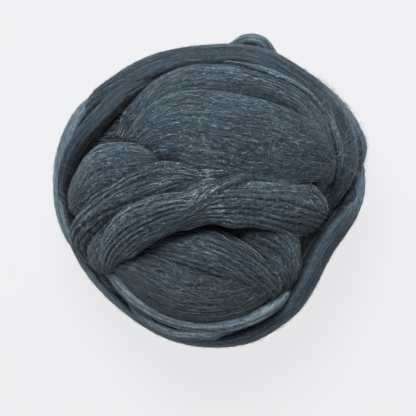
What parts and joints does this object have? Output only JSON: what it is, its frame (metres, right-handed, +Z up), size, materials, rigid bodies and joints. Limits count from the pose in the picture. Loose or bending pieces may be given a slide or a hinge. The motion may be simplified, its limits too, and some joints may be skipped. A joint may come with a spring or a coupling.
{
  "type": "ball of wool roving",
  "caption": "Loosely hand-wound ball of combed wool roving, with broad flattened wraps crossing over one another and a small flat spot underneath to rest on",
  "frame": {"origin": "On the surface that the ball rests on, under the middle of its bounding box", "axes": "+Z up, away from the surface; +X towards the ball's fuzzy right side and +Y towards the small fold on its rim, both as seen from above"},
  "size_m": [0.1562, 0.1562, 0.1061],
  "materials": {
    "wool": "combed charcoal wool, matt with a soft sheen along the fibres"
  },
  "bodies": {
    "root": {"roving_ball": "wool"}
  },
  "joints": []
}
